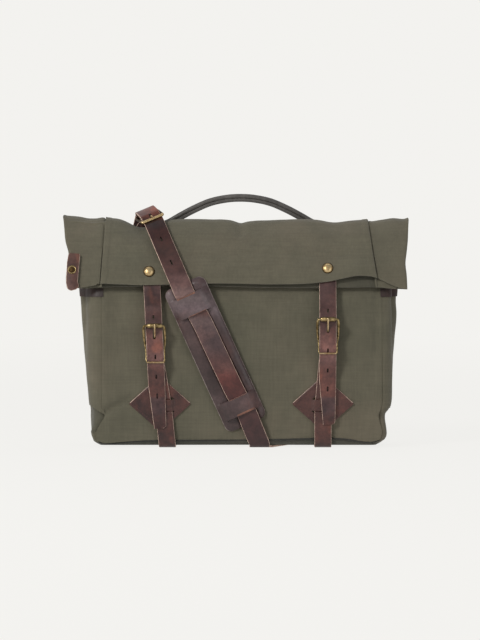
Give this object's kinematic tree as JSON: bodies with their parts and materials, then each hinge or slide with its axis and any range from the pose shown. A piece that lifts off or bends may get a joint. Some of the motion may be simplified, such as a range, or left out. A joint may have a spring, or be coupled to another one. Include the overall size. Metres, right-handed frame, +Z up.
{
  "type": "messenger bag",
  "caption": "Canvas roll-top messenger bag with a folded tube flap, buckled leather closure straps, diagonal padded shoulder strap, base patches and a rolled top handle.",
  "frame": {"origin": "middle of the bag's bounding box at the floor it stands on", "axes": "+X to the right along the flap, front of the bag at -Y, +Z up"},
  "size_m": [0.435, 0.1256, 0.3167],
  "materials": {
    "olive_canvas": "matt waxed cotton canvas",
    "dark_piping": "matt cord edging",
    "base_board": "matt pressed board",
    "brown_leather": "satin dark brown bridle leather",
    "pad_leather": "satin dark brown leather",
    "handle_leather": "satin grey-brown rolled leather",
    "aged_brass": "aged satin brass"
  },
  "bodies": {
    "bag": {"front_panel": "olive_canvas", "back_panel": "olive_canvas", "base_panel": "olive_canvas", "base_piping_front": "dark_piping", "base_piping_back": "dark_piping", "base_board": "base_board", "left_gusset": "olive_canvas", "right_gusset": "olive_canvas", "left_anchor_band": "brown_leather", "right_anchor_band": "brown_leather", "left_anchor_rivet": "aged_brass", "right_anchor_rivet": "aged_brass", "left_lower_strap": "brown_leather", "right_lower_strap": "brown_leather", "left_diamond_patch": "brown_leather", "right_diamond_patch": "brown_leather", "left_buckle_frame": "aged_brass", "right_buckle_frame": "aged_brass", "shoulder_strap_under": "brown_leather", "shoulder_strap_rear": "brown_leather", "left_handle_chape": "brown_leather", "right_handle_chape": "brown_leather", "left_handle_rivet": "aged_brass", "right_handle_rivet": "aged_brass"},
    "flap": {"flap_outer_panel": "olive_canvas", "flap_inner_layer": "olive_canvas", "flap_left_wing": "olive_canvas", "flap_right_wing": "olive_canvas", "side_tab": "brown_leather", "side_tab_rivet": "aged_brass", "left_flap_rivet": "aged_brass", "right_flap_rivet": "aged_brass"},
    "left_closure": {"left_closure_strap": "brown_leather"},
    "right_closure": {"right_closure_strap": "brown_leather"},
    "left_prong": {"left_buckle_prong": "aged_brass"},
    "right_prong": {"right_buckle_prong": "aged_brass"},
    "left_roller": {"left_buckle_roller": "aged_brass"},
    "right_roller": {"right_buckle_roller": "aged_brass"},
    "shoulder_strap": {"shoulder_strap_front": "brown_leather", "shoulder_pad": "pad_leather"},
    "shoulder_buckle": {"shoulder_buckle_frame": "aged_brass", "shoulder_buckle_chape": "brown_leather"},
    "shoulder_prong": {"shoulder_buckle_prong": "aged_brass"},
    "handle": {"handle_grip": "handle_leather", "left_handle_ring": "aged_brass", "right_handle_ring": "aged_brass"}
  },
  "joints": [
    {"name": "flap_fold", "type": "hinge", "parent": "bag", "child": "flap", "pos_m": [0, 0.00907, 0.287], "axis": [-1, 0, 0], "range_deg": [0, 145]},
    {"name": "left_closure_bend", "type": "hinge", "parent": "flap", "child": "left_closure", "pos_m": [-0.1055, -0.03863, 0.204], "axis": [-1, 0, 0], "range_deg": [-116, 0], "deforming": ["left_closure_strap"]},
    {"name": "right_closure_bend", "type": "hinge", "parent": "flap", "child": "right_closure", "pos_m": [0.1145, -0.03863, 0.204], "axis": [-1, 0, 0], "range_deg": [-116, 0], "deforming": ["right_closure_strap"]},
    {"name": "left_prong_turn", "type": "hinge", "parent": "bag", "child": "left_prong", "pos_m": [-0.101, -0.04783, 0.13], "axis": [1, 0, 0], "range_deg": [0, 51]},
    {"name": "right_prong_turn", "type": "hinge", "parent": "bag", "child": "right_prong", "pos_m": [0.1145, -0.04783, 0.138], "axis": [1, 0, 0], "range_deg": [0, 51]},
    {"name": "left_roller_spin", "type": "hinge", "parent": "bag", "child": "left_roller", "pos_m": [-0.101, -0.05768, 0.1528], "axis": [1, 0, 0], "continuous": true},
    {"name": "right_roller_spin", "type": "hinge", "parent": "bag", "child": "right_roller", "pos_m": [0.1145, -0.05768, 0.1608], "axis": [1, 0, 0], "continuous": true},
    {"name": "shoulder_strap_lift", "type": "hinge", "parent": "bag", "child": "shoulder_strap", "pos_m": [0, -0.03693, 0.004], "axis": [1, 0, 0], "range_deg": [0, 73], "deforming": ["shoulder_strap_front", "shoulder_pad"]},
    {"name": "shoulder_buckle_lift", "type": "hinge", "parent": "bag", "child": "shoulder_buckle", "pos_m": [0, 0.01927, 0.267], "axis": [-1, 0, 0], "range_deg": [0, 90]},
    {"name": "shoulder_prong_turn", "type": "hinge", "parent": "shoulder_buckle", "child": "shoulder_prong", "pos_m": [-0.1125, 0.01707, 0.2905], "axis": [-0.9048, -0.2039, -0.3739], "range_deg": [0, 44]},
    {"name": "handle_swing", "type": "hinge", "parent": "bag", "child": "handle", "pos_m": [0.0055, 0.02787, 0.257], "axis": [-1, 0, 0], "range_deg": [0, 110]}
  ],
  "couplings": [
    {"joint": "left_closure_bend", "follows": "flap_fold", "ratio": -0.8},
    {"joint": "right_closure_bend", "follows": "flap_fold", "ratio": -0.8},
    {"joint": "left_prong_turn", "follows": "flap_fold", "ratio": 0.35},
    {"joint": "right_prong_turn", "follows": "flap_fold", "ratio": 0.35},
    {"joint": "shoulder_strap_lift", "follows": "flap_fold", "ratio": 0.5},
    {"joint": "shoulder_buckle_lift", "follows": "flap_fold", "ratio": 0.62},
    {"joint": "shoulder_prong_turn", "follows": "flap_fold", "ratio": 0.3}
  ]
}
